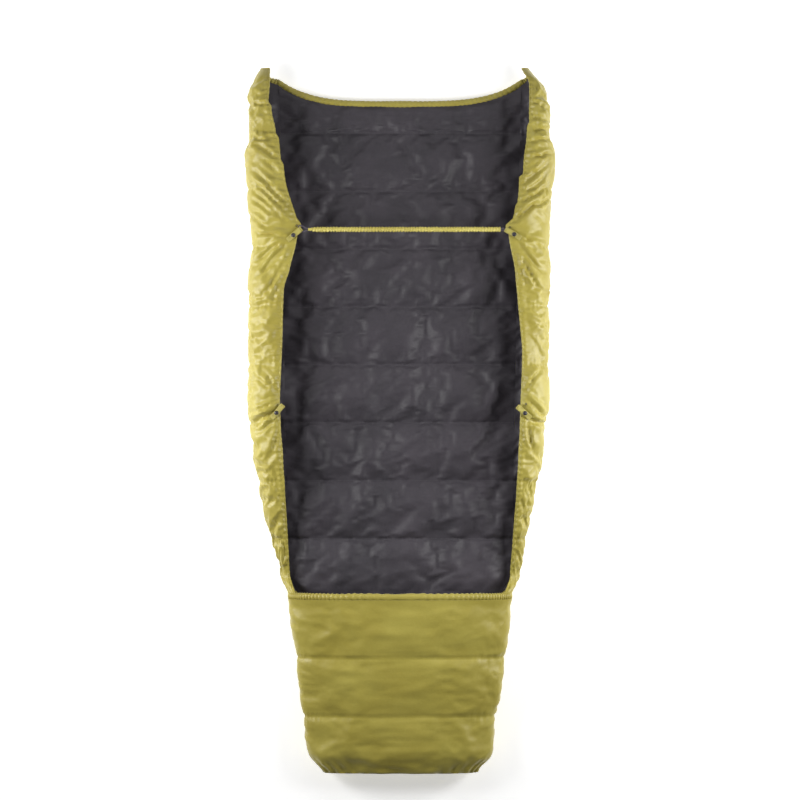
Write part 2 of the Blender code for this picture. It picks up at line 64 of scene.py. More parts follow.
# ---- sizes shared with the CAD
SEAM_Y = -0.0058  # of the cross seam nearest the middle
SEAMS = range(-2, 6)  # the cross seams outside the foot box, counted from that one
CHAMBER = 0.1363
MOUTH_Y = SEAM_Y - 3 * CHAMBER
BED_THICK = 0.022
HEAD_MIDDLE_Y = 0.745
HEAD_RISE = 0.084
HEAD_CORNER_X = 0.325
FOOT_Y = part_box("foot_shell")[0][1]
FOOT_ROUND_Y = -0.755
FOOT_HALF_WIDTHS = (0.262, 0.218)
FOOT_HEIGHTS = (0.098, 0.088)
FOOT_WALL = 0.018
FOOT_SQUARENESS = 3.1  # 2 would be an ellipse
HINGE_Z = 0.012
HINGE_FOOT = (-0.36, 0.2624)
HINGE_HEAD = (0.822, 0.285)


def metres(*rows):
    """The rows, from millimetres to metres."""
    return tuple(tuple(round(value / 1000, 6) for value in row) for row in rows)


def curve(*points):
    """A smooth function through (place, value) points in mm that never overshoots them."""
    places, values = zip(*metres(*points))
    steps = [b - a for a, b in zip(places, places[1:])]
    slopes = [(b - a) / h for a, b, h in zip(values, values[1:], steps)]
    inner = [2 * a * b / (a + b) if a * b > 0 else 0 for a, b in zip(slopes, slopes[1:])]
    tangents = [slopes[0], *inner, slopes[-1]]

    def value(at):
        at = min(max(at, places[0]), places[-1])
        i = min(bisect_right(places, at) - 1, len(steps) - 1)
        t = (at - places[i]) / steps[i]
        start = (1 + 2 * t) * (1 - t) ** 2 * values[i] + t * t * (3 - 2 * t) * values[i + 1]
        turn = t * (1 - t) ** 2 * tangents[i] - t * t * (1 - t) * tangents[i + 1]
        return start + steps[i] * turn

    return value


# The flaps as they show in plan and in height: Y, then |x|, height or half thickness, in mm.
outer_edge = {
    "left": curve((-360, 277), (-291, 297), (-174, 324), (-46, 347), (48, 354), (328, 352),
                  (403, 345), (515, 355), (690, 359.5), (768, 349), (822, 328)),
    "right": curve((-360, 277), (-256, 298), (-139, 321), (-34, 335), (48, 346), (350, 347),
                   (445, 348), (600, 359.5), (698, 352), (768, 334), (822, 304)),
}
inner_edge = {
    "left": curve((-360, 258), (-92, 270), (39, 277), (165, 272), (300, 268), (352, 254),
                  (443, 236), (539, 261), (672, 286), (740, 302), (822, 303)),
    "right": curve((-360, 258), (-162, 270), (34, 278), (153, 281.6), (254, 273.4), (347, 265),
                   (442, 250), (464, 260.6), (597, 284), (693, 297), (782, 300), (822, 283)),
}
outer_height = curve((-360, 22), (-250, 36), (-90, 50), (440, 56), (690, 52), (790, 44), (822, 32))
inner_height = curve((-360, 31), (-250, 55), (-90, 92), (40, 99), (440, 102), (600, 97), (740, 84),
                     (790, 70), (822, 46))
half_thick = curve((-360, 4.5), (-250, 9), (760, 9), (822, 3.5))
HEM_THINNING = 0.55
LEAST_TURN = 0.011  # smallest radius of a flap's two bends
BEND_MARGIN = 1.15  # by which the hem's bend stays wider than the half thickness
SIGN = {"left": -1, "right": 1}
LEVELS = ("upper", "lower")

# ---- looks
CLOTH_THICK = 0.0007
LEAST_Z = 0.0004  # of the cloth over the floor
LEAST_FROM_MIDDLE = 0.0020  # of the shell and of the liner, from the surface midway between them
FLAP_LENGTH = 0.20  # of cloth from the root to the hem, over the bulge
HEM_INSET = 0.0025  # of the cloth's end from the hem's free edge
TUCK = 0.020  # how far the flaps' cloth runs on into the foot box's wall
ROWS = 190  # of the coarse sheets, from the foot box to the head edge; they are refined once
BED_COLUMNS = 18
FLAP_COLUMNS = 35
UPPER_NOSE_Y = 0.4423
EYELETS = {"left_upper": (-0.2385, 0.4500), "right_upper": (0.2535, 0.4462),
           "right_lower": (0.2900, 0.0385)}
TIP_FILL = {"left": (0.0030, 0.792), "right": (0.0060, 0.772)}  # out, and at which Y
TIP_REACH = 0.030
# Where the hem steps: at this Y, and half the step in |x|, in mm.
HEM_STEPS = {"left": metres((734, 3.4), (659, 2.6), (597, 2.2)),
             "right": metres((686, 2.4), (566, 4.6), (499, 2))}
STEP_SHARPNESS = 0.0035
STEP_REACH = 0.024
TONGUE = 0.009  # how far the hem reaches out beside the upper tabs, and how far headward of them
TONGUE_REACH = 0.011
# A flap's section at the mouth: inside the foot box's half width, and the height of its bulge.
MOUTH_ROOT_INSET = 0.024
MOUTH_BULGE_INSET = 0.006
MOUTH_BULGE_Z = 0.046
MOUTH_TURN_Z = 0.024
# Past the mouth, the section moves in and down and thins.
TUCK_RUN = 0.010
TUCK_IN = 0.011
TUCK_DOWN = 0.004
TUCK_THINNING = 0.6
# Under a tab: how low the cloth is held from the leaf's middle plane, and the dimple's sides.
DIMPLE_DEPTH = -0.0060
DIMPLE_SLOPE = 0.75
DIMPLE_REACH = 0.02
# Seams and gathers
GROOVE_HALF_WIDTH = 0.0040
PUCKER_REACH = 0.012
PUCKER_PITCH = 0.0115
GATHER_PITCH = 0.0125
FOOT_DEEPEST = -0.0070  # of the foot box's relief
LINER_CROWN = 0.0062
LINER_DIP = 0.0034
LINER_CRUMPLE = 1.1
# The cloth simulation
PUFF_FRAMES = 16
PUFF_CAP = 0.008  # most that a point moves
PUFF_SETTINGS = {"quality": 4, "mass": 0.12, "tension_stiffness": 12, "compression_stiffness": 6,
                 "shear_stiffness": 5, "bending_stiffness": 0.12, "air_damping": 3,
                 "use_pressure": True, "shrink_min": -0.03}
PUFF_PRESSURE = {1: 2.2, -1: 1.6}  # of the shell and the liner


def smooth_step(value, low, high):
    t = min(max((value - low) / (high - low), 0.0), 1.0)
    return t * t * (3 - 2 * t)


def rise(value, reach):
    return smooth_step(value, 0.0, reach)


def bell(value, reach):
    return math.exp(-((value / reach) ** 2))


def waves(along, pitch, shift):
    return math.sin(math.tau * along / pitch + shift)


def noise_at(x, y, z):
    return noise.noise(Vector((x, y, z)))


def signed_power(value, power):
    return math.copysign(abs(value) ** power, value)


def hinge_x(y):
    (foot_y, foot_x), (head_end, head_x) = HINGE_FOOT, HINGE_HEAD
    return foot_x + (head_x - foot_x) * (y - foot_y) / (head_end - foot_y)


def head_y(x):
    return HEAD_MIDDLE_Y + HEAD_RISE * (min(abs(x), HEAD_CORNER_X - 0.009) / HEAD_CORNER_X) ** 4


def flap_shape(side, y):
    """The two bends of a flap at this Y: root, bulge and hem places and its half thickness."""
    near = max(y, HINGE_FOOT[0])
    half = half_thick(near)
    root_x = hinge_x(near)
    fill, fill_y = TIP_FILL[side]
    fill *= bell(near - fill_y, TIP_REACH)
    bulge_x = max(outer_edge[side](near) + fill - half, root_x + LEAST_TURN)
    bulge_z = max(outer_height(near), HINGE_Z + LEAST_TURN)
    turn_x = max(bulge_x - inner_edge[side](near) - HEM_INSET, LEAST_TURN)
    turn_z = min(inner_height(near) - bulge_z, turn_x**2 / (BEND_MARGIN * half))
    for step_y, step_x in HEM_STEPS[side]:
        away = y - step_y
        fade = math.exp(-((abs(away) / STEP_REACH) ** 1.5))
        turn_x -= step_x * math.tanh(away / STEP_SHARPNESS) * fade
    turn_x += TONGUE * bell(y - UPPER_NOSE_Y - TONGUE, TONGUE_REACH)
    return root_x, bulge_x, bulge_z, turn_x, turn_z, half


def flap_point(shape, s, face):
    """A point (|x|, z) on a flap's outer (1) or inner (-1) face.

    s runs from 0 at the root, through 0.5 at the bulge, to 1 at the hem.
    """
    root_x, bulge_x, bulge_z, turn_x, turn_z, half = shape
    if s <= 0.5:
        a = math.pi * s
        wide, tall = bulge_x - root_x, bulge_z - HINGE_Z
        out_x, out_z = tall * math.sin(a), -wide * math.cos(a)
        x, z = root_x + wide * math.sin(a), bulge_z - tall * math.cos(a)
    else:
        a = math.pi * (s - 0.5)
        out_x, out_z = turn_z * math.cos(a), turn_x * math.sin(a)
        x, z = bulge_x - turn_x * (1 - math.cos(a)), bulge_z + turn_z * math.sin(a)
        half = half * (1 - HEM_THINNING * max(0.0, 4 * (s - 0.5) - 1) ** 2)
    size = math.hypot(out_x, out_z)
    out_x, out_z = out_x / size, out_z / size
    return x + face * half * out_x, z + face * half * out_z


def section_shape(side, y):
    """flap_shape, run on past the flap's foot end and tucked into the foot box's side."""
    root_x, bulge_x, bulge_z, turn_x, turn_z, half = flap_shape(side, y)
    t = smooth_step(-y, -HINGE_FOOT[0], -MOUTH_Y)
    root_x += t * (FOOT_HALF_WIDTHS[0] - MOUTH_ROOT_INSET - root_x)
    bulge_x += t * (FOOT_HALF_WIDTHS[0] - MOUTH_BULGE_INSET - bulge_x)
    bulge_z += t * (MOUTH_BULGE_Z - bulge_z)
    turn_z += t * (MOUTH_TURN_Z - turn_z)
    tuck = rise(MOUTH_Y - y, TUCK_RUN)
    bulge_x -= TUCK_IN * tuck
    bulge_z -= TUCK_DOWN * tuck
    return root_x, bulge_x, bulge_z, turn_x, turn_z, half * (1 - TUCK_THINNING * tuck)


def seam_distance(y):
    """Distance in Y to the nearest cross seam, and how far through a chamber this place is."""
    place = (y - SEAM_Y) / CHAMBER
    part = place - math.floor(place)
    return min(part, 1 - part) * CHAMBER, part


def ridged(x, y, z, octaves=3):
    """Sharp-crested noise between about -0.5 and 0.5."""
    total, size, scale = 0.0, 1.0, 1.0
    for _ in range(octaves):
        total += size * (1 - abs(noise_at(x * scale, y * scale, z)) * 3.2)
        size *= 0.5
        scale *= 2.1
    return total / 1.75 - 0.45


# Folds that run out from each snap tab. Each one is (out, up) of its start and of its end from the
# tab's nose in plan, then its height and its half width, all in mm.
FOLDS = {
    ("left", "upper"): metres(
        (12, 26, 124, 152, 6.5, 7.5), (24, 24, 126, 126, 5.5, 6.5), (34, 16, 129, 104, 4.5, 7.5),
        (66, 34, 126, 78, 6, 6.5), (80, 6, 132, 42, 4, 6), (36, -16, 124, -4, 7, 7),
        (36, -28, 112, -115, 7, 8), (26, -50, 90, -150, 5, 7.5), (44, -24, 122, -74, 5, 6),
        (40, -94, 78, -176, 4.5, 7), (68, 293, 126, 300, 7.5, 7.5), (58, 218, 112, 206, 6, 6.5),
        (48, 158, 104, 196, 5.5, 6.5), (50, 124, 98, 170, 5, 6.5),
    ),
    ("right", "upper"): metres(
        (16, 14, 108, 90, 6.5, 8), (40, 64, 108, 103, 5, 6.5), (46, 84, 104, 126, 4.5, 7),
        (72, 52, 110, 78, 6, 6), (44, 108, 104, 154, 6, 7.5), (56, 164, 112, 180, 5.5, 6.5),
        (40, -14, 104, -32, 6, 6.5), (30, -26, 92, -100, 7, 7.5), (42, -62, 86, -146, 5, 7),
        (26, -52, 58, -142, 4.5, 7), (62, 243, 122, 234, 7.5, 7.5), (70, 300, 108, 276, 5.5, 6.5),
        (50, 205, 118, 212, 5, 6.5), (60, 270, 104, 256, 4.5, 6),
    ),
    ("left", "lower"): metres(
        (4, -6, 86, -42, 8.5, 8.5), (18, -26, 60, -60, 5, 6), (24, 10, 76, -18, 4.5, 6),
        (18, 28, 50, 82, 4.5, 6.5), (34, 40, 74, 70, 3.5, 6), (14, -50, 34, -110, 4.5, 6.5),
    ),
    ("right", "lower"): metres(
        (10, -20, 80, -44, 9, 8.5), (22, 24, 76, -26, 5.5, 7), (16, 30, 48, 76, 4.5, 6.5),
        (30, -48, 40, -100, 4.5, 6), (12, -44, 20, -96, 4, 6), (30, 58, 70, 96, 3.5, 6.5),
    ),
}


def joint_named(name):
    return next(joint for joint in frame["joints"] if joint["name"] == name)


def nose_of(side, level):
    """A tab's nose in plan: |x| and y."""
    low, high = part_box(f"tab_{level}_{side}_base")
    nose_y = joint_named(f"{level}_{side}_tab_open")["pos_m"][1]
    return (-high.x if side == "left" else low.x), nose_y


def middle_of(node):
    low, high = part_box(node)
    return (low + high) / 2


def tab_frame(side, level):
    """The tab's own frame: X from its nose to its stitched end, Z off the flap."""
    joint = joint_named(f"{level}_{side}_tab_open")
    origin = Vector(joint["pos_m"])
    y_axis = -Vector(joint["axis"]).normalized()
    x_axis = middle_of(f"tab_{level}_{side}_leaf") - origin
    x_axis = (x_axis - y_axis * x_axis.dot(y_axis)).normalized()
    turn = Matrix((x_axis, y_axis, x_axis.cross(y_axis))).transposed()
    return Matrix.Translation(origin) @ turn.to_4x4()


NOSES = {(side, level): nose_of(side, level) for side in SIGN for level in LEVELS}


FOLDS_REACH = 0.34
FOLD_START = -0.05  # shares of a fold's length, where it begins and where it reaches its height
FOLD_RISEN = 0.22


def fold_relief(side, out, y):
    """Height of the folds round a flap's two tabs, at |x| = out and y."""
    total = 0.0
    for level in LEVELS:
        nose_x, nose_y = NOSES[side, level]
        u, v = out - nose_x, y - nose_y
        if abs(v) > FOLDS_REACH:
            continue
        drift = 0.0035 * noise_at(u * 22, v * 22, 3.0 + SIGN[side])
        for ax, ay, bx, by, height, wide in FOLDS[side, level]:
            run_x, run_y = bx - ax, by - ay
            long = math.hypot(run_x, run_y)
            t = ((u - ax) * run_x + (v - ay) * run_y) / long**2
            if not FOLD_START < t < 1.0:
                continue
            across = ((u - ax) * -run_y + (v - ay) * run_x) / long + drift
            if abs(across) > 5 * wide:
                continue
            fade = smooth_step(t, FOLD_START, FOLD_RISEN) * rise(1 - t, 0.40)
            beside = across / wide
            valley = bell(beside, 0.50)
            ridge = math.exp(-((beside - 1.25) ** 2) / 0.8)
            ridge += 0.55 * math.exp(-((beside + 1.3) ** 2) / 1.1)
            total += height * fade * (0.80 * ridge - 1.05 * valley)
    return total


def crumple(part, across, y):
    """Irregular creases of loose light cloth; heights in metres."""
    seed = {"left": 0, "right": 23, "liner": 52}[part]
    warp = 0.35 * noise_at(across * 12, y * 9, seed)
    broad = noise_at(across * 10 + warp, y * 8, seed + 2)
    slanted, along = across * 0.8 + y * 0.5, y * 0.8 - across * 0.6
    crease = ridged(slanted * 11 + warp, along * 17, seed + 4.3, 2)
    small = ridged(across * 30 + warp * 2, y * 34, seed + 8.1, 2)
    return 0.0040 * broad + 0.0062 * crease + 0.0013 * small


def mesh_object(name, points, faces, look=None):
    """A smooth shaded object in the scene, with this material."""
    mesh = bpy.data.meshes.new(name)
    mesh.from_pydata(points, [], faces)
    mesh.shade_smooth()
    if look:
        mesh.materials.append(look)
    made = bpy.data.objects.new(name, mesh)
    bpy.context.scene.collection.objects.link(made)
    return made


def ring_faces(count, size, closed=False):
    """The faces of a tube of count rings of size points; an open tube gets its two ends."""
    faces = []
    for i in range(count if closed else count - 1):
        j = (i + 1) % count
        for k in range(size):
            m = (k + 1) % size
            faces.append((i * size + k, i * size + m, j * size + m, j * size + k))
    if not closed:
        faces += [tuple(range(size))[::-1], tuple(range((count - 1) * size, count * size))]
    return faces


def weld(piece, face_out=False):
    """Joins a piece's doubled points; face_out also turns its faces outwards."""
    whole = bmesh.new()
    whole.from_mesh(piece.data)
    bmesh.ops.remove_doubles(whole, verts=whole.verts, dist=1e-6)
    if face_out:
        bmesh.ops.recalc_face_normals(whole, faces=whole.faces)
    whole.to_mesh(piece.data)
    whole.free()
    piece.data.shade_smooth()


def grid_object(name, points, flip):
    """A mesh from an array of rows by columns by 3."""
    rows, columns = points.shape[:2]
    index = np.arange(rows * columns).reshape(rows, columns)
    corners = index[:-1, :-1], index[:-1, 1:], index[1:, 1:], index[1:, :-1]
    quads = np.stack(corners, axis=-1).reshape(-1, 4)
    if flip:
        quads = quads[:, ::-1]
    return mesh_object(name, points.reshape(-1, 3).tolist(), quads.tolist())


def refined(values):
    """A grid with a smooth in-between row and column added at every gap."""
    for axis in (0, 1):
        values = np.moveaxis(values, axis, 0)
        ends = 2 * values[:1] - values[1:2], 2 * values[-1:] - values[-2:-1]
        padded = np.concatenate([ends[0], values, ends[1]])
        between = (9 * (padded[1:-2] + padded[2:-1]) - padded[:-3] - padded[3:]) / 16
        out = np.empty((2 * len(values) - 1, *values.shape[1:]))
        out[::2] = values
        out[1::2] = between
        values = np.moveaxis(out, 0, axis)
    return values


def head_edge_y(share, s):
    """Y of the head edge, on the bed and then up the flap."""
    root_y = head_y(HINGE_HEAD[1] * share)
    return root_y + (HINGE_HEAD[0] - root_y) * rise(s, 0.5)


def pinched(distance, reach=0.014, least=0.18):
    """How much of its thickness a padded edge keeps at this distance from its end."""
    t = min(max(distance / reach, 0.0), 1.0)
    return least + (1 - least) * math.sqrt(1 - (1 - t) ** 2)


def place_on_cloth(side, face, share, s, flat_y):
    """A point of the shell (face 1) or liner (face -1) and its place on the cloth.

    The place is (share of the way from the middle to the flap's root, s up the flap, y, x, distance
    to the head edge).
    """
    last_seam = SEAM_Y + SEAMS[-1] * CHAMBER
    end_y = head_edge_y(share, s)
    y = flat_y
    if flat_y > last_seam:
        y = last_seam + (flat_y - last_seam) * (end_y - last_seam) / (HINGE_HEAD[0] - last_seam)
    shape = section_shape(side, y)
    x, z = flap_point(shape, s, face)
    # The two faces close on each other at the hem and at the head edge.
    pinch = pinched((1 - s) * FLAP_LENGTH) * (pinched(end_y - y, 0.007, 0.55) if s > 0 else 1.0)
    middle_x, middle_z = flap_point(shape, s, 0)
    x, z = middle_x + (x - middle_x) * pinch, middle_z + (z - middle_z) * pinch
    if s <= 0:
        x = shape[0] * abs(share)
        level = BED_THICK if face < 0 else 0.0006
        z = level + (z - level) * smooth_step(abs(share), 0.8, 1.0)
        if face < 0:
            # The liner goes down to meet the neck hem.
            at_neck = 1 - rise(end_y - y, 0.022)
            z -= 0.006 * at_neck * rise(1 - abs(share), 0.05)
        x = math.copysign(x, share)
    else:
        x *= SIGN[side]
    return (x, y, z), (share, s, y, x, end_y - y)


def grid_places(part, face):
    """Points and places of the bed's cloth, or of the left or right flap's."""
    if part == "bed":
        across = [(-1 + k / BED_COLUMNS, 0.0) for k in range(2 * BED_COLUMNS + 1)]
    else:
        across = [(SIGN[part], k / FLAP_COLUMNS) for k in range(FLAP_COLUMNS + 1)]
    points = np.empty((ROWS + 1, len(across), 3))
    places = np.empty((ROWS + 1, len(across), 5))
    start_y = MOUTH_Y if part == "bed" else MOUTH_Y - TUCK
    for row in range(ROWS + 1):
        flat_y = start_y + (HINGE_HEAD[0] - start_y) * row / ROWS
        for column, (share, s) in enumerate(across):
            side = "left" if share < 0 else "right"
            points[row, column], places[row, column] = place_on_cloth(side, face, share, s, flat_y)
    return points, places


def read_all(items, name):
    """A three-part property of all items, as an array."""
    flat = np.empty(len(items) * 3)
    items.foreach_get(name, flat)
    return flat.reshape(-1, 3)


def vertices_of(mesh):
    return read_all(mesh.vertices, "co")


def normals_of(mesh):
    return read_all(mesh.vertex_normals, "vector")


def move_points(mesh, points):
    mesh.vertices.foreach_set("co", points.ravel())
    mesh.update()


def raise_along_normals(piece, heights):
    mesh = piece.data
    move_points(mesh, vertices_of(mesh) + normals_of(mesh) * np.array(heights)[:, None])


def inflate(piece, pinned, freedom, pressure):
    """Blows the cloth up between its pinned seams, and keeps the result on the mesh.

    freedom is the share of the movement that each point keeps.
    """
    scene = bpy.context.scene
    before = vertices_of(piece.data)
    group = piece.vertex_groups.new(name="seams")
    group.add(pinned, 1.0, "REPLACE")
    cloth = piece.modifiers.new("puff", "CLOTH")
    settings = cloth.settings
    for setting, value in PUFF_SETTINGS.items():
        setattr(settings, setting, value)
    settings.vertex_group_mass = "seams"
    settings.uniform_pressure_force = pressure
    settings.effector_weights.gravity = 0
    cloth.collision_settings.use_collision = False
    cloth.point_cache.frame_start = 1
    cloth.point_cache.frame_end = PUFF_FRAMES
    for step in range(1, PUFF_FRAMES + 1):
        scene.frame_set(step)
    graph = bpy.context.evaluated_depsgraph_get()
    after = vertices_of(piece.evaluated_get(graph).data)
    piece.modifiers.remove(cloth)
    piece.vertex_groups.remove(group)
    scene.frame_set(1)
    moved = after - before
    length = np.linalg.norm(moved, axis=1)
    scale = PUFF_CAP * np.tanh(length / PUFF_CAP) / np.maximum(length, 1e-9)
    move_points(piece.data, before + moved * (scale * freedom)[:, None])


def thicken(piece):
    """Gives a sheet its thickness, inwards, as real geometry."""
    solid = piece.modifiers.new("thickness", "SOLIDIFY")
    solid.thickness = CLOTH_THICK
    solid.offset = -1
    graph = bpy.context.evaluated_depsgraph_get()
    mesh = bpy.data.meshes.new_from_object(piece.evaluated_get(graph))
    piece.modifiers.remove(solid)
    piece.data = mesh
    mesh.shade_smooth()
    mesh.set_sharp_from_angle(angle=math.radians(65))


def broad_relief(part, face, place):
    """Height of the chamber crowns, tab folds and crumples at this place."""
    _, s, y, x, to_head = place
    to_hem = (1 - s) * FLAP_LENGTH
    crown = math.sin(math.pi * seam_distance(y)[1]) ** 0.7
    ends = smooth_step(y, MOUTH_Y, MOUTH_Y + 0.03) * rise(to_head, 0.025)
    if face < 0:
        onward = x if part == "bed" else SIGN[part] * (hinge_x(y) + s * FLAP_LENGTH)
        lift = LINER_CROWN * crown - LINER_DIP + LINER_CRUMPLE * crumple("liner", onward, y)
    if part == "bed":
        return lift * ends if face < 0 else 0.0
    hem = rise(to_hem, 0.02)
    ends *= rise(to_head, 0.08)
    if face < 0:
        return lift * (1 - 0.3 * rise(s, 0.5)) * hem * ends
    # The cloth is tight over the bulge and loose towards the hem, the head and the foot.
    near_hem = rise(0.085 - to_hem, 0.045)
    slack = 0.12 + 0.88 * max(near_hem, smooth_step(y, 0.56, 0.66), rise(-y, 0.06))
    noses = [NOSES[part, level] for level in LEVELS]
    to_tab = min(math.hypot(abs(x) - nose_x, y - nose_y) for nose_x, nose_y in noses)
    slack *= 0.45 + 0.55 * smooth_step(to_tab, 0.03, 0.16)
    loose = 1.3 * slack * crumple(part, s * FLAP_LENGTH, y)
    folds = fold_relief(part, abs(x), y) * rise(to_hem, 0.010) * smooth_step(s, 0.40, 0.58)
    near_root = smooth_step(s, 0.02, 0.2)
    return ((0.0050 * crown - 0.0024) * hem + loose * hem + folds) * near_root * ends


def fine_relief(part, face, place):
    """Height of the seam grooves and of the gathers along the seams and the hem."""
    _, s, y, x, to_head = place
    distance = seam_distance(y)[0]
    if face > 0 and s <= 0.08:
        return 0.0
    along = abs(x) if part == "bed" else s * FLAP_LENGTH + 0.24
    on_flap = 0.0 if part == "bed" else rise(s, 0.3)
    groove = (-0.0022 + 0.0008 * on_flap) * bell(distance, GROOVE_HALF_WIDTH)
    pucker = waves(along, PUCKER_PITCH, 2.5 * noise_at(along * 40, y * 15, 3))
    groove += (0.0011 - 0.0005 * on_flap) * pucker * bell(distance, PUCKER_REACH)
    if part == "bed":
        return groove
    if to_head < 0.02:
        return 0.0
    to_hem = (1 - s) * FLAP_LENGTH
    gather = waves(y, GATHER_PITCH, 3 * noise_at(y * 22, s * 5, 9))
    gather *= bell(to_hem - 0.005, 0.012) * rise(to_hem, 0.003)
    return groove + 0.0013 * gather


def edge_freedom(part, place):
    """How freely the cloth moves: not at all at the hem, the head, the mouth and the root."""
    share, s, y, _, to_head = place
    from_root = (1 - abs(share)) * hinge_x(y) if part == "bed" else s * FLAP_LENGTH
    to_hem = (1 - s) * FLAP_LENGTH if part != "bed" else 1.0
    return (rise(from_root, 0.04) * rise(to_hem, 0.03)
            * rise(to_head, 0.05) * smooth_step(y, MOUTH_Y, MOUTH_Y + 0.02))


def press_under_tabs(points, side):
    """Holds the cloth down under a flap's tabs, with a soft dimple round each."""
    for level in LEVELS:
        matrix = np.array(tab_frame(side, level))
        local = (points - matrix[:3, 3]) @ matrix[:3, :3]
        past_x = np.maximum(np.maximum(-0.004 - local[:, 0], local[:, 0] - TAB_LENGTH - 0.001), 0)
        past_y = np.maximum(np.abs(local[:, 1]) - TAB_HALF_WIDTH - 0.0008, 0)
        away = np.hypot(past_x, past_y)
        limit = DIMPLE_DEPTH + DIMPLE_SLOPE * away
        over = (local[:, 2] > limit) & (away < DIMPLE_REACH) & (local[:, 2] < 0.03)
        points[over] -= (local[over, 2] - limit[over])[:, None] * matrix[:3, 2]
    return points


def kept_apart(made, own, other):
    """Holds the cloth on its own side of the surface midway between the shell and the liner."""
    own, other = refined(own).reshape(-1, 3), refined(other).reshape(-1, 3)
    middle = (own + other) / 2
    out = own - middle
    out /= np.maximum(np.linalg.norm(out, axis=1), 1e-6)[:, None]
    height = np.einsum("ij,ij->i", made - middle, out)
    return made + out * np.maximum(LEAST_FROM_MIDDLE - height, 0)[:, None]


def cloth_part(name, part, face, look):
    """The shell or liner of the bed or of one flap, finished, and the lines of its seams."""
    points, places = grid_places(part, face)
    flip = (part != "left") != (face < 0)
    coarse = grid_object(name + "_coarse", points, flip)
    facts = places.reshape(-1, 5)
    raise_along_normals(coarse, [broad_relief(part, face, place) for place in facts])
    rows, columns = points.shape[:2]
    row_at, column_at = np.divmod(np.arange(rows * columns), columns)
    edge = (row_at == 0) | (row_at == rows - 1) | (column_at == 0) | (column_at == columns - 1)
    row_height = (HINGE_HEAD[0] - MOUTH_Y) / ROWS
    near_seam = np.array([seam_distance(y)[0] for y in facts[:, 2]]) < 0.6 * row_height
    if part != "bed" or face < 0:
        freedom = np.array([edge_freedom(part, place) for place in facts])
        pinned = np.flatnonzero(edge | near_seam).tolist()
        inflate(coarse, pinned, freedom, PUFF_PRESSURE[face])
    fine_points = refined(vertices_of(coarse.data).reshape(rows, columns, 3))
    fine_places = refined(places)
    bpy.data.objects.remove(coarse)
    piece = grid_object(name, fine_points, flip)
    facts = fine_places.reshape(-1, 5)
    raise_along_normals(piece, [fine_relief(part, face, place) for place in facts])
    made = vertices_of(piece.data)
    if part != "bed":
        made = press_under_tabs(made, part)
    made = kept_apart(made, points, grid_places(part, -face)[0])
    made[:, 2] = np.maximum(made[:, 2], LEAST_Z)
    move_points(piece.data, made)
    lines = seam_lines(piece, fine_places, 0.30 if face > 0 and part != "bed" else 0.0)
    thicken(piece)
    piece.data.materials.append(look)
    return piece, lines


def seam_lines(piece, places, from_s):
    """For each cross seam, its points and normals on the piece, from the middle to the hem."""
    shape = places.shape[:2]
    at = vertices_of(piece.data).reshape(*shape, 3)
    out = normals_of(piece.data).reshape(*shape, 3)
    lines = []
    for k in SEAMS:
        y = SEAM_Y + k * CHAMBER
        row = int(np.argmin(np.abs(places[:, 0, 2] - y)))
        keep = (places[row, :, 1] >= from_s) & (places[row, :, 1] <= 0.92)
        lines.append((at[row][keep], out[row][keep]))
    return lines


def stitches(name, lines, look, length=0.0026, gap=0.0014, radius=0.00042):
    """Rows of short thread stitches that lie on (points, normals) lines."""
    points, faces = [], []
    for at, out in lines:
        steps = np.linalg.norm(np.diff(at, axis=0), axis=1)
        run = np.concatenate([[0], np.cumsum(steps)])
        starts = np.arange(gap, run[-1] - length, length + gap)
        for start in starts:
            spots = [start, start + length / 2, start + length]
            centre = [np.array([np.interp(t, run, at[:, i]) for i in range(3)]) for t in spots]
            lift = np.array([np.interp(spots[1], run, out[:, i]) for i in range(3)])
            lift /= np.linalg.norm(lift)
            ahead = centre[2] - centre[0]
            beside = np.cross(ahead, lift)
            beside /= max(np.linalg.norm(beside), 1e-9)
            base = len(points)
            top = centre[1] + lift * radius * 1.4
            points += [centre[0], centre[1] + beside * radius, top, centre[1] - beside * radius,
                       centre[1] - lift * radius * 0.5, centre[2]]
            for a, b in ((1, 2), (2, 3), (3, 4), (4, 1)):
                faces += [(base, base + b, base + a), (base + 5, base + a, base + b)]
    return mesh_object(name, [tuple(p) for p in points], faces, look)


def with_flap(piece):
    """Bakes the piece's transform into its mesh."""
    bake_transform(piece)


def tube_mesh(name, path, rings, look, closed=False):
    """A mesh tube along a path; rings holds each ring's points round (0, 0)."""
    points = []
    count = len(path)
    side_ref = None
    for i, point in enumerate(path):
        ahead = path[(i + 1) % count] if closed or i < count - 1 else path[i]
        behind = path[i - 1] if closed or i > 0 else path[i]
        along = (ahead - behind).normalized()
        if side_ref is None:
            side_ref = along.cross(Vector((0, 0, 1))).normalized()
        side_ref = (side_ref - along * side_ref.dot(along)).normalized()
        up = side_ref.cross(along).normalized()
        points += [point + side_ref * u + up * v for u, v in rings[i]]
    return mesh_object(name, points, ring_faces(count, len(rings[0]), closed), look)


def on_oval(wide, tall, a, power):
    """The point at turn a of an oval, which is an ellipse if power is 1 and squarer below that."""
    return wide * signed_power(math.cos(a), power), tall * signed_power(math.sin(a), power)


def rolled_hem(name, path, sizes, wide, tall, sides):
    """A hem along the path, of an oval section times the size at each of its points."""
    turns = [math.tau * k / sides for k in range(sides)]
    rings = [[on_oval(wide * size, tall * size, a, 0.85) for a in turns] for size in sizes]
    return tube_mesh(name, path, rings, hem_look)


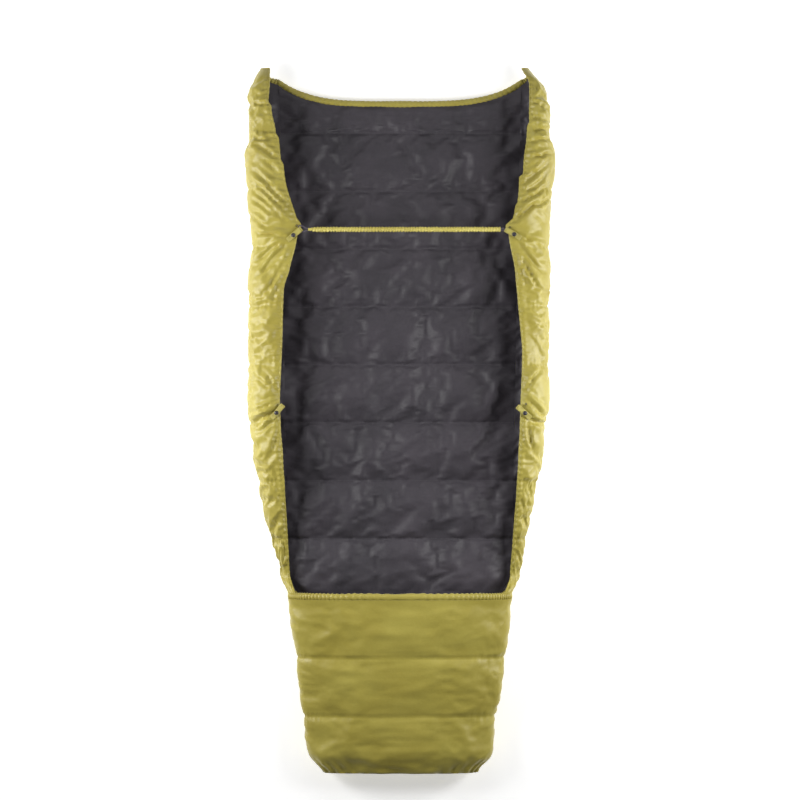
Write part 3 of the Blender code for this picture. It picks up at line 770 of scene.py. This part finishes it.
def flap_hem(side):
    """The rolled and gathered edge of a flap: along its free side, then across its head end."""
    free, across = 520, 90
    path, sizes = [], []
    for i in range(free + across + 1):
        if i <= free:
            y, s = MOUTH_Y - TUCK + (HINGE_HEAD[0] - 0.0016 - MOUTH_Y + TUCK) * i / free, 1.0
        else:
            s = 1 - (i - free) / across
            y = head_edge_y(SIGN[side], s)
        x, z = flap_point(section_shape(side, y), s, 0)
        at = 0.0024 * i  # about the length along the hem
        wobble = noise_at(at * 26, 4.0, SIGN[side])
        fine = noise_at(at * 120, 9.0, SIGN[side])
        path.append(Vector((SIGN[side] * (x + 0.0007 * wobble), y, z + 0.0007 * fine)))
        taper = 0.35 + 0.65 * rise(i, 12)
        taper += 2.4 * smooth_step(i, free + 0.6 * across, free + across)
        gather = waves(at, GATHER_PITCH, 2 * wobble)
        sizes.append(taper * (1 + 0.12 * gather + 0.12 * fine))
    return rolled_hem(f"hem_{side}", path, sizes, 0.0025, 0.0023, 12)


def neck_hem():
    """The rolled head edge, from one hinge line to the other."""
    reach = HINGE_HEAD[1] + 0.003
    steps = 220
    path, sizes = [], []
    for i in range(steps + 1):
        x = reach * (1 - 2 * i / steps)
        wobble = noise_at(x * 22, 1.5, 0)
        path.append(Vector((x, head_y(x) - 0.001, 0.0115 + 0.0012 * wobble)))
        sizes.append(1 + 0.06 * waves(x, 0.011, 3 * wobble) + 0.06 * wobble)
    return rolled_hem("hem_neck", path, sizes, 0.0080, 0.0105, 18)


def foot_size(y):
    """Half width and half height of the foot box's outer face at this Y. It lies on z = 0."""
    run = (MOUTH_Y - y) / (MOUTH_Y - FOOT_ROUND_Y)
    near = min(run, 1.0)
    wide = FOOT_HALF_WIDTHS[0] + (FOOT_HALF_WIDTHS[1] - FOOT_HALF_WIDTHS[0]) * near
    tall = (FOOT_HEIGHTS[0] + (FOOT_HEIGHTS[1] - FOOT_HEIGHTS[0]) * near) / 2
    return wide, tall


def foot_point(y, a, depth):
    """A point of the foot box at this Y and turn a, at a depth under its outer face."""
    wide, tall = foot_size(y)
    x, z = on_oval(wide - depth, tall - depth, a, 2 / FOOT_SQUARENESS)
    return Vector((x, y, tall + z))


def foot_sheet(name, depth, look, seed):
    """The foot box's shell (depth 0) or liner: a bag with chambers, open at the mouth."""
    rings, around, cap_rings = 84, 168, 9
    end_y = FOOT_Y + depth + 0.003
    outward = 1 if depth == 0 else -1
    points = np.empty((rings + cap_rings + 1, around + 1, 3))
    for i in range(rings + cap_rings + 1):
        past = max(0.0, (i - rings) / cap_rings)
        y = MOUTH_Y + (end_y - MOUTH_Y) * min(1.0, i / rings)
        wide, tall = foot_size(y)
        distance, part = seam_distance(y)
        crown = math.sin(math.pi * part) ** 0.6
        groove = bell(distance, GROOVE_HALF_WIDTH)
        rounding = rise(FOOT_ROUND_Y - y, FOOT_ROUND_Y - end_y) ** 2
        at_mouth = rise(MOUTH_Y - y, 0.025)
        for k in range(around + 1):
            a = math.tau * (k % around) / around
            spot = foot_point(y, a, depth)
            up = spot.z - tall
            flat = Vector((spot.x * (1 - 0.16 * rounding), y, tall + up * (1 - 0.30 * rounding)))
            wave = noise_at(flat.x * 13, flat.z * 26, y * 11 + seed)
            slanted, along = flat.x * 11 + y * 9, y * 17 - flat.x * 5 + flat.z * 12
            crease = ridged(slanted + 0.4 * wave, along, seed + 0.3, 3)
            end_fold = math.sin(30 * a + 3 * noise_at(flat.x * 12, flat.z * 20, seed))
            relief = 0.0055 * crown - 0.0034 + 0.0040 * (wave + crease) - 0.0018 * groove
            relief += 0.0020 * end_fold * smooth_step(-y, -end_y - 0.05, -end_y)
            pucker = waves(flat.x + flat.z, GATHER_PITCH, 2.5 * wave)
            relief += 0.0009 * pucker * bell(distance, PUCKER_REACH)
            relief = max(relief, FOOT_DEEPEST) * at_mouth * (1 - past)
            slope = Vector((math.copysign((abs(spot.x) / wide) ** 2 / wide, spot.x), 0,
                            math.copysign((abs(up) / tall) ** 2 / tall, up)))
            flat += slope.normalized() * relief * outward
            # Past the end, the rings close flat on the middle.
            flat.x *= 1 - past
            flat.z = tall + (flat.z - tall) * (1 - past)
            flat.y -= 0.003 * outward * math.sin(math.pi * past / 2)
            flat.z = max(flat.z, LEAST_Z + depth)
            points[i, k] = flat
    made = grid_object(name, points, outward < 0)
    weld(made)
    thicken(made)
    made.data.materials.append(look)
    return made


def mouth_hem():
    """The gathered binding round the foot box's mouth, above the bed."""
    steps = 360
    path, sizes = [], []
    for i in range(steps + 1):
        a = -0.10 * math.pi + 1.20 * math.pi * i / steps
        spot = foot_point(MOUTH_Y, a, FOOT_WALL / 2)
        wobble = noise_at(spot.x * 25, spot.z * 25, 2)
        path.append(Vector((spot.x, MOUTH_Y + 0.006 + 0.0012 * wobble, spot.z)))
        sizes.append(1 + 0.09 * waves(i, 5.5, 2 * wobble) + 0.08 * wobble)
    return rolled_hem("hem_mouth", path, sizes, 0.0085, 0.0085, 16)


# ---- tabs, snaps and strap
TAB_HALF_WIDTH = 0.006
TAB_THICK = 0.0012
TAB_SPACE = 0.0036
TAB_FOLD_X = -0.0014
TAB_LENGTH = 0.038
TAB_LEAF_LENGTH = 0.0275
SNAP_X = 0.020
CAP_R = 0.005
# Turned profiles: radius (of the cap, in shares of CAP_R) and height above the seat.
CAP_PROFILE = ((0.92, 0.0), (1.0, 0.00018), (1.0, 0.00062), (0.95, 0.0009), (0.86, 0.00105),
               (0.80, 0.00082), (0.74, 0.00080), (0.68, 0.00112), (0.50, 0.00150), (0.30, 0.00170),
               (0.14, 0.00178), (0.02, 0.00180))
EYELET_PROFILE = ((0.0026, -0.0005), (0.0026, 0.0003), (0.0021, 0.0007), (0.0015, 0.0004),
                  (0.0012, -0.0004))
TAB_SEAM_HALF = 0.0046  # from the tab's middle to its long seams
TAB_STITCH = (0.0016, 0.0009, 0.00026)  # length, gap and radius
CORD_R = 0.0013
SLEEVE_HALF = (0.0060, 0.0030)


def strip(name, middle, normals, matrix, look, rounding=0.0):
    """A soft webbing strip along a line in the XZ plane, with rounded edges and a faint crown.

    rounding is how far the corners of its last end are rounded off.
    """
    run = [0.0]
    for a, b in zip(middle, middle[1:]):
        run.append(run[-1] + math.hypot(b[0] - a[0], b[1] - a[1]))
    across = 15
    points = []
    for (x, z), (nx, nz), at in zip(middle, normals, run):
        wide, to_end = TAB_HALF_WIDTH, run[-1] - at
        if to_end < rounding:
            wide -= rounding - math.sqrt(rounding**2 - (rounding - to_end) ** 2)
        for top in (1, -1):
            for k in range(across):
                u = (-1 + 2 * k / (across - 1)) * top
                edge = (1 - abs(u) ** 6) ** 0.5 if abs(u) < 1 else 0.0
                rib = 0.05 * math.cos(u * math.pi * 7)
                lift = TAB_THICK / 2 * top * (0.86 * edge + rib * edge)
                points.append(matrix @ Vector((x + nx * lift, u * wide, z + nz * lift)))
    made = mesh_object(name, points, ring_faces(len(middle), 2 * across), look)
    weld(made, face_out=True)
    return made


def straight_line(points, matrix, lift, steps=24):
    """A stitch line through points (x, y) of a tab's frame, lift above its plane."""
    spots = []
    for (ax, ay), (bx, by) in zip(points, points[1:]):
        for i in range(steps + 1):
            x, y = ax + (bx - ax) * i / steps, ay + (by - ay) * i / steps
            spots.append(tuple(matrix @ Vector((x, y, lift))))
    up = np.tile(np.array(matrix.to_3x3() @ Vector((0, 0, 1))), (len(spots), 1))
    return np.array(spots), up


def lathe(name, profile, matrix, look, sides=40):
    """A turned piece round Z of the given frame; the profile runs from the rim to the axis."""
    turns = [math.tau * k / sides for k in range(sides)]
    points = [matrix @ Vector((r * math.cos(a), r * math.sin(a), z))
              for r, z in profile for a in turns]
    return mesh_object(name, points, ring_faces(len(profile), sides), look)


def eyelet(name, shell, x, y, metal):
    """A small dark ring set in the flap's corner beside a tab, flat on the shell."""
    at, out = shell.ray_cast(Vector((x, y, 0.3)), Vector((0, 0, -1)))[1:3]
    seat = Matrix.Translation(at) @ out.to_track_quat("Z", "Y").to_matrix().to_4x4()
    return lathe(name, EYELET_PROFILE, seat, metal, 24)


def placed(piece, body, slot, *nodes):
    """The piece rides on the body and replaces the nodes; slot is not used."""
    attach(piece, body)
    if nodes:
        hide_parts(*nodes)


def tab(side, level):
    """One folded snap tab: the sewn leg with its fold on the flap, and the leaf with its cap."""
    matrix = tab_frame(side, level)
    name, flap, body = f"tab_{level}_{side}", f"{side}_flap", f"{level}_{side}_tab"
    half = TAB_THICK / 2
    fold_z, fold_r = -half - TAB_SPACE / 2, TAB_SPACE / 2 + half
    line, normals = [], []
    for i in range(13):
        a = math.pi * (0.5 + i / 12)
        line.append((TAB_FOLD_X + fold_r * math.cos(a), fold_z + fold_r * math.sin(a)))
        normals.append((math.cos(a), math.sin(a)))
    low = fold_z - fold_r
    for i in range(1, 25):
        line.append((TAB_FOLD_X + (TAB_LENGTH - TAB_FOLD_X) * i / 24, low))
        normals.append((0, -1))
    leg = strip(f"{name}_leg", line, normals, matrix, webbing_look)
    placed(leg, flap, "tab_webbing", f"{name}_base")
    line = [(-half + (TAB_LEAF_LENGTH + half) * i / 30, 0) for i in range(31)]
    leaf = strip(f"{name}_flap", line, [(0, 1)] * len(line), matrix, webbing_look, rounding=0.0012)
    placed(leaf, body, "tab_webbing", f"{name}_leaf")
    # The leaf's seam goes along three sides; the leg's end is sewn down with a boxed cross.
    edge, near, far = TAB_SEAM_HALF, 0.001, TAB_LEAF_LENGTH - 0.0014
    sides = [(near, -edge), (far, -edge), (far, edge), (near, edge)]
    seam = straight_line(sides, matrix, half * 0.92)
    seam = stitches(f"{name}_flap_thread", [seam], thread_look, *TAB_STITCH)
    placed(seam, body, "tab_webbing")
    near, far = TAB_LEAF_LENGTH + 0.0016, TAB_LENGTH - 0.0014
    box = [(near, -edge), (far, -edge), (far, edge), (near, edge), (near, -edge), (far, edge)]
    box = straight_line(box, matrix, low + half * 0.92)
    sewn = stitches(f"{name}_leg_thread", [box], thread_look, *TAB_STITCH)
    placed(sewn, flap, "tab_webbing")
    seat = matrix @ Matrix.Translation((SNAP_X, 0, half + 0.0003))
    profile = [(r * CAP_R, z) for r, z in CAP_PROFILE]
    cap = lathe(f"cap_{level}_{side}_dome", profile, seat, snap_look)
    placed(cap, body, "snap_metal", f"cap_{level}_{side}")
    return matrix


# The elastic's two ends, in mm: round the left tab from its fold, then round the sleeve's far end.
NEAR_LOOP_UPPER = metres((0, 0), (0, 6.9), (1.8, 8.6), (5.2, 7.8), (9.5, 1))
NEAR_LOOP_LOWER = metres((0, -6.9), (1.8, -8.8), (7, -10.2))
FAR_LOOP = metres((-4.5, 2.7), (-1.2, 2), (0, 0), (-1.2, -2), (-4.5, -2.7))
STRAND_SPACING = 0.0042
RUCHE_PITCH = 0.0066


def smooth_closed(points, per_span):
    """A Catmull-Rom loop through the points."""
    out = []
    count = len(points)
    for i in range(count):
        p0, p1, p2, p3 = (points[(i + k) % count] for k in (-1, 0, 1, 2))
        for k in range(per_span):
            t = k / per_span
            out.append(0.5 * (2 * p1 + (p2 - p0) * t + (2 * p0 - 5 * p1 + 4 * p2 - p3) * t**2
                              + (3 * p1 - p0 - 3 * p2 + p3) * t**3))
    return out


def evened(path, step):
    """The closed path again, with points a step apart."""
    at = np.array([tuple(p) for p in [*path, path[0]]])
    run = np.concatenate([[0], np.cumsum(np.linalg.norm(np.diff(at, axis=0), axis=1))])
    count = int(run[-1] / step)
    places = np.arange(count) * run[-1] / count
    return [Vector([float(np.interp(t, run, at[:, i])) for i in range(3)]) for t in places]


def braid_ring(i):
    """Ring i of the elastic's braided cover."""
    ring = []
    for k in range(12):
        a = math.tau * k / 12
        r = CORD_R * (0.95 + 0.07 * math.cos(4 * a + i * 0.9) * math.cos(4 * a - i * 0.9))
        ring.append((r * math.cos(a), r * math.sin(a)))
    return ring


def ruched_ring(at, long):
    """The gathered sleeve's ring at this length along it."""
    narrow = 0.60 + 0.40 * smooth_step(at, 0.004, 0.016)
    half_width = SLEEVE_HALF[0] * 0.93 * narrow
    half_height = SLEEVE_HALF[1] * 0.95 * (0.75 + 0.25 * narrow)
    ends = rise(min(at, long - at), 0.006)
    ring = []
    for k in range(28):
        a = math.tau * k / 28
        c, s = math.cos(a), math.sin(a)
        lean = noise_at(at * 60, c * 0.8, s * 0.8)
        phase = at * math.tau / RUCHE_PITCH + 3.4 * lean + 0.7 * c
        sharp = 1 - 2 * abs(math.sin(phase / 2)) ** 0.8
        small = noise_at(at * 330, c * 2.2, s * 2.2)
        r = 1 + (0.20 * sharp + 0.20 * small) * (0.3 + 0.7 * ends)
        ring.append((half_width * r * c, half_height * r * s))
    return ring


def strap(left):
    """The ruched sleeve over the doubled elastic cord, from the left upper tab's frame."""
    fold = left @ Vector((TAB_FOLD_X, 0, -TAB_THICK / 2 - TAB_SPACE / 2))
    high_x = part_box("strap_elastic")[1].x
    low_x, sleeve_x = (corner.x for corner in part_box("strap_sleeve"))
    turn = left.to_3x3()
    forward, across = turn @ Vector((-1, 0, 0)), turn @ Vector((0, -1, 0))
    slope = (middle_of("strap_sleeve").z - fold.z) * 2 / (low_x + sleeve_x - 2 * fold.x)
    end = Vector((high_x - CORD_R, fold.y, fold.z + slope * (high_x - fold.x))) - fold
    half_gap = Vector((0, STRAND_SPACING / 2, 0))
    run = [end * ((low_x + (sleeve_x - low_x) * i / 8 - fold.x) / end.x) for i in range(9)]
    upper = [forward * a + across * b for a, b in NEAR_LOOP_UPPER] + [p + half_gap for p in run]
    lower = [forward * a + across * b for a, b in NEAR_LOOP_LOWER] + [p - half_gap for p in run]
    far = [end + Vector((x, y, 0)) for x, y in FAR_LOOP]
    path = [fold + p for p in smooth_closed([*upper, *far, *lower[::-1]], 14)]
    even = evened(path, 0.0011)
    braid = [braid_ring(i) for i in range(len(even))]
    cord = tube_mesh("strap_cord", even, braid, cord_look, closed=True)
    placed(cord, "strap", "elastic_cord", "strap_elastic")

    steps = 620
    start, stop = fold + run[0], fold + run[-1]
    path = [start.lerp(stop, i / steps) for i in range(steps + 1)]
    long = (stop - start).length
    rings = [ruched_ring(long * i / steps, long) for i in range(steps + 1)]
    sleeve = tube_mesh("strap_cover", path, rings, strap_look)
    placed(sleeve, "strap", "strap_nylon", "strap_sleeve")


# ---- materials
class Nodes:
    """Builds a node tree in a few words."""

    def __init__(self, name):
        self.material = bpy.data.materials.new(name)
        self.material.use_nodes = True
        self.tree = self.material.node_tree
        self.shader = self.tree.nodes["Principled BSDF"]

    def fill(self, node, values):
        """Gives the node's inputs these sockets or values."""
        for name, value in values.items():
            if isinstance(value, bpy.types.NodeSocket):
                self.tree.links.new(value, node.inputs[name])
            else:
                node.inputs[name].default_value = value

    def add(self, kind, inputs, **settings):
        node = self.tree.nodes.new(kind)
        for name, value in settings.items():
            setattr(node, name, value)
        self.fill(node, inputs)
        return node

    def noise(self, place, scale, detail, roughness, distortion=0.0):
        inputs = {"Vector": place, "Scale": scale, "Detail": detail, "Roughness": roughness,
                  "Distortion": distortion}
        return self.add("ShaderNodeTexNoise", inputs).outputs["Fac"]

    def spread(self, value, low, high):
        """The value's middle part, from low to high."""
        inputs = {"Value": value, "From Min": 0.3, "From Max": 0.7, "To Min": low, "To Max": high}
        return self.add("ShaderNodeMapRange", inputs).outputs["Result"]

    def ramp(self, value, *stops):
        """A colour ramp with two (place, colour) stops."""
        node = self.add("ShaderNodeValToRGB", {"Fac": value})
        for element, (place, colour) in zip(node.color_ramp.elements, stops):
            element.position = place
            element.color = (*colour, 1)
        return node.outputs["Color"]


def cloth_look(name, dark, light, rough=(0.36, 0.46), sheen=0.2, sheen_tint=(1, 1, 1),
               thread=0.0011, weave=0.25, creases=0.3, specular=0.5):
    """Woven cloth: mottled colour, a fine weave in the bump, and small soft creases."""
    n = Nodes(name)
    place = n.add("ShaderNodeTexCoord", {}).outputs["Object"]
    broad = n.noise(place, 7, 4, 0.6)
    fine = n.noise(place, 190, 3, 0.6)
    mixed = n.add("ShaderNodeMix", {"Factor": 0.15, "A": broad, "B": fine}, data_type="FLOAT")
    bands = []
    for direction in ("X", "Y"):
        inputs = {"Vector": place, "Scale": 0.314 / thread, "Distortion": 0.6, "Detail": 1.0}
        wave = n.add("ShaderNodeTexWave", inputs, wave_type="BANDS", bands_direction=direction)
        bands.append(wave.outputs["Fac"])
    woven = n.add("ShaderNodeMath", {0: bands[0], 1: bands[1]}, operation="MAXIMUM").outputs[0]
    wrinkle = n.noise(place, 38, 4, 0.5, distortion=0.3)
    soft = n.add("ShaderNodeBump", {"Height": wrinkle, "Strength": creases, "Distance": 0.0022})
    top = n.add("ShaderNodeBump", {"Height": woven, "Strength": weave, "Distance": 0.00018,
                                   "Normal": soft.outputs["Normal"]})
    n.fill(n.shader, {"Base Color": n.ramp(mixed.outputs["Result"], (0.34, dark), (0.66, light)),
                      "Roughness": n.spread(fine, *rough), "Normal": top.outputs["Normal"],
                      "Sheen Weight": sheen, "Sheen Roughness": 0.45,
                      "Sheen Tint": (*sheen_tint, 1), "Specular IOR Level": specular})
    return n.material


def metal_look(name):
    """Dark enamelled snap: smooth, a little scuffed on the high places."""
    n = Nodes(name)
    scuffs = n.noise(n.add("ShaderNodeTexCoord", {}).outputs["Object"], 900, 5, 0.7)
    bump = n.add("ShaderNodeBump", {"Height": scuffs, "Strength": 0.12, "Distance": 0.0001})
    dark = n.ramp(scuffs, (0.35, (0.022, 0.020, 0.024)), (0.72, (0.060, 0.054, 0.062)))
    n.fill(n.shader, {"Base Color": dark, "Roughness": n.spread(scuffs, 0.22, 0.38),
                      "Normal": bump.outputs["Normal"], "Coat Weight": 0.5, "Coat Roughness": 0.15})
    return n.material


WARM = {"sheen": 0.25, "sheen_tint": (1.0, 0.97, 0.72)}
shell_look = cloth_look("shell_nylon_look", (0.37, 0.305, 0.050), (0.45, 0.385, 0.075), **WARM)
liner_look = cloth_look("liner_nylon_look", (0.044, 0.040, 0.047), (0.066, 0.058, 0.069),
                        rough=(0.46, 0.56), sheen=0.12, specular=0.32)
hem_look = cloth_look("hem_nylon_look", (0.37, 0.305, 0.050), (0.46, 0.395, 0.078), creases=0.4,
                      **WARM)
webbing_look = cloth_look("tab_webbing_look", (0.40, 0.34, 0.07), (0.54, 0.475, 0.12),
                          thread=0.0009, weave=0.7, creases=0.2, sheen=0.15)
strap_look = cloth_look("strap_nylon_look", (0.52, 0.43, 0.080), (0.69, 0.60, 0.14), thread=0.0009,
                        creases=0.4, **WARM)
cord_look = cloth_look("elastic_cord_look", (0.062, 0.050, 0.070), (0.125, 0.105, 0.14),
                       thread=0.0006, weave=0.6, creases=0.2, rough=(0.6, 0.8))
SEWN = {"thread": 0.0005, "creases": 0.1, "rough": (0.5, 0.65)}
thread_look = cloth_look("thread_look", (0.36, 0.31, 0.06), (0.52, 0.46, 0.12), **SEWN)
dark_thread_look = cloth_look("dark_thread_look", (0.035, 0.031, 0.038), (0.06, 0.055, 0.064),
                              **SEWN)
snap_look = metal_look("snap_metal_look")
for node_name, node in frame["nodes"].items():
    if node_name.startswith(("stud_", "socket_")):
        node.data.materials.clear()
        node.data.materials.append(snap_look)

# ---- the quilt
down = [f"bed_down_{i:02d}" for i in range(1, 10)] + [f"bed_baffle_{i:02d}" for i in range(1, 9)]
faces = {"shell": (1, shell_look, thread_look), "liner": (-1, liner_look, dark_thread_look)}
for kind, part in ((kind, part) for kind in faces for part in ("bed", "left", "right")):
    flap = f"{part}_flap_"
    nodes = [f"bed_{kind}", *down] if part == "bed" else [flap + kind, flap + "down"]
    face, look, thread = faces[kind]
    piece, lines = cloth_part(f"{kind}_{part}", part, face, look)
    made = [piece]
    if face < 0 or part != "bed":
        made.append(stitches(f"seams_{kind}_{part}", lines, thread))
    for each in made:
        if part == "bed":
            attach(each, "quilt_body")
        else:
            with_flap(each)
    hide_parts(*(nodes if kind == "shell" else nodes[:1]))
    for eyelet_name, (x, y) in EYELETS.items():
        if kind == "shell" and eyelet_name.startswith(part):
            ring = eyelet(f"eyelet_{eyelet_name}", piece, x, y, snap_look)
            with_flap(ring)
for side in SIGN:
    hem = flap_hem(side)
    with_flap(hem)
    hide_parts(f"{side}_flap_hem")

placed(neck_hem(), "quilt_body", "shell_nylon", "neck_hem")
foot = foot_sheet("foot_outer", 0.0, shell_look, 5)
fillings = [f"foot_down_{i:02d}" for i in (1, 2, 3)] + [f"foot_baffle_{i:02d}" for i in (1, 2)]
placed(foot, "quilt_body", "shell_nylon", "foot_shell", *fillings)
foot_inside = foot_sheet("foot_inner", FOOT_WALL - 0.001, liner_look, 17)
placed(foot_inside, "quilt_body", "liner_nylon", "foot_liner")
placed(mouth_hem(), "quilt_body", "shell_nylon", "foot_mouth_hem")

tab_frames = {(side, level): tab(side, level) for side in SIGN for level in LEVELS}
strap(tab_frames["left", "upper"])

# ---- floor, light and camera
WHITE = (1, 1, 1, 1)
floor_look = Nodes("floor_look")
floor_look.fill(floor_look.shader, {
    "Base Color": (0.93, 0.93, 0.93, 1), "Roughness": 0.9, "Specular IOR Level": 0.1,
    "Emission Color": WHITE, "Emission Strength": 0.5})
corners = [(-6, -6, 0), (6, -6, 0), (6, 6, 0), (-6, 6, 0)]
floor = mesh_object("floor", corners, [(0, 1, 2, 3)], floor_look.material)

scene = bpy.context.scene
scene.world = bpy.data.worlds.new("studio")
scene.world.use_nodes = True
background = scene.world.node_tree.nodes["Background"]
background.inputs["Color"].default_value = WHITE
background.inputs["Strength"].default_value = 0.06
scene.view_settings.view_transform = "Standard"

# Rectangular lamps that point at the quilt's middle
for name, place, size, watts in (("light_left", (-1.40, 0.17, 0.80), (0.5, 1.4), 28.5),
                                 ("light_right", (1.40, 0.12, 0.80), (0.5, 1.4), 26),
                                 ("light_head", (0, 2.4, 2.2), (2.0, 0.8), 14)):
    light = bpy.data.lights.new(name, "AREA")
    light.shape = "RECTANGLE"
    light.size, light.size_y = size
    light.energy = watts
    lamp = bpy.data.objects.new(name, light)
    lamp.location = place
    aim = Vector((0, 0.05, 0.05)) - Vector(place)
    lamp.rotation_euler = aim.to_track_quat("-Z", "Y").to_euler()
    scene.collection.objects.link(lamp)

camera = bpy.data.cameras.new("camera")
camera.lens = 85
camera.sensor_width = 36
eye = bpy.data.objects.new("camera", camera)
eye.location = (0, 0.048, 4.46)
scene.collection.objects.link(eye)
scene.camera = eye
